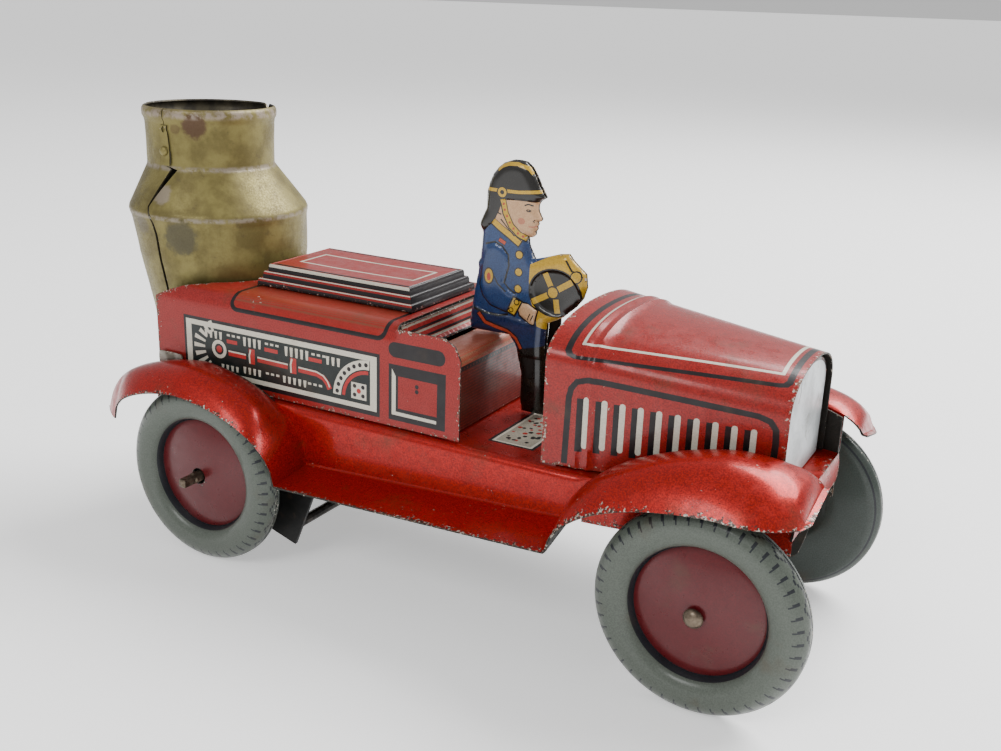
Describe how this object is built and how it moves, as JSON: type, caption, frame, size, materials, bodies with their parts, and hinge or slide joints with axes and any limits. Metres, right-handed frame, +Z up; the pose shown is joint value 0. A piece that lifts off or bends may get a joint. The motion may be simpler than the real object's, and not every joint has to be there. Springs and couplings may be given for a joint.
{
  "type": "tin toy fire engine",
  "caption": "Pressed-tin clockwork toy fire engine: steam pumper body with an open boiler, hose lid, seated driver, louvred hood and mudguards.",
  "frame": {"origin": "middle of the underside of the whole toy, on the surface its tyres stand on", "axes": "+X towards the front (radiator), +Y to the left side, +Z up"},
  "size_m": [0.1836, 0.0766, 0.1008],
  "materials": {
    "red_tin": "lithographed red enamel on pressed tin, glossy, worn at the edges",
    "brass_tin": "brass-lacquered tin, satin, patchy with age",
    "bright_tin": "bare tinplate, satin",
    "grey_tyre": "grey-green lithographed tin with printed tread and maroon hub",
    "back_tin": "dull dark enamel on pressed tin",
    "tan_tin": "printed tan enamel on pressed tin",
    "blue_tin": "glossy printed enamel on pressed tin",
    "black_steel": "blackened steel plate",
    "dark_steel": "oiled dark steel",
    "gear_brass": "stamped brass",
    "spring_steel": "blued spring steel"
  },
  "bodies": {
    "root": {"chassis": "red_tin", "body_shell": "red_tin", "right_boiler_clip": "bright_tin", "left_boiler_clip": "bright_tin", "hose_lid": "red_tin", "seat_box": "tan_tin", "seat_back": "red_tin", "hood": "red_tin", "radiator": "bright_tin", "dashboard": "tan_tin", "boiler": "brass_tin", "boiler_seam_strap": "brass_tin", "driver_right_half": "blue_tin", "driver_left_half": "blue_tin", "front_axle": "dark_steel", "right_motor_plate": "black_steel", "left_motor_plate": "black_steel", "middle_motor_plate": "black_steel", "motor_pillar_1": "dark_steel", "motor_pillar_2": "dark_steel", "motor_pillar_3": "dark_steel", "mainspring": "spring_steel"},
    "front_right_wheel": {"front_right_wheel_outer": "grey_tyre", "front_right_wheel_inner": "back_tin"},
    "front_left_wheel": {"front_left_wheel_outer": "grey_tyre", "front_left_wheel_inner": "back_tin"},
    "rear_right_wheel": {"rear_right_wheel_outer": "grey_tyre", "rear_right_wheel_inner": "back_tin"},
    "rear_drive": {"drive_axle": "dark_steel", "drive_gear": "gear_brass", "rear_left_wheel_outer": "grey_tyre", "rear_left_wheel_inner": "back_tin"},
    "layshaft": {"layshaft": "dark_steel", "lay_pinion": "gear_brass", "lay_gear": "gear_brass"},
    "great_wheel": {"great_wheel": "gear_brass", "click": "dark_steel"},
    "winding": {"winding_arbor": "dark_steel", "ratchet_wheel": "gear_brass"}
  },
  "joints": [
    {"name": "front_right_wheel_spin", "type": "hinge", "parent": "root", "child": "front_right_wheel", "pos_m": [0.07092, -0.0292, 0.02087], "axis": [0, 1, 0], "continuous": true},
    {"name": "front_left_wheel_spin", "type": "hinge", "parent": "root", "child": "front_left_wheel", "pos_m": [0.07092, 0.0322, 0.02087], "axis": [0, 1, 0], "continuous": true},
    {"name": "rear_right_wheel_spin", "type": "hinge", "parent": "root", "child": "rear_right_wheel", "pos_m": [-0.04858, -0.0307, 0.02087], "axis": [0, 1, 0], "continuous": true},
    {"name": "drive_spin", "type": "hinge", "parent": "root", "child": "rear_drive", "pos_m": [-0.04858, 0.0175, 0.02087], "axis": [0, 1, 0], "continuous": true},
    {"name": "layshaft_spin", "type": "hinge", "parent": "root", "child": "layshaft", "pos_m": [-0.03509, -0.0025, 0.018], "axis": [0, 1, 0], "continuous": true},
    {"name": "great_wheel_spin", "type": "hinge", "parent": "root", "child": "great_wheel", "pos_m": [-0.04858, -0.0046, 0.02087], "axis": [0, 1, 0], "continuous": true},
    {"name": "winding_turn", "type": "hinge", "parent": "root", "child": "winding", "pos_m": [-0.04858, -0.0185, 0.02087], "axis": [0, 1, 0], "range_deg": [0, 1800]}
  ],
  "couplings": [
    {"joint": "layshaft_spin", "follows": "drive_spin", "ratio": -0.64286},
    {"joint": "great_wheel_spin", "follows": "drive_spin", "ratio": 0.17857}
  ]
}
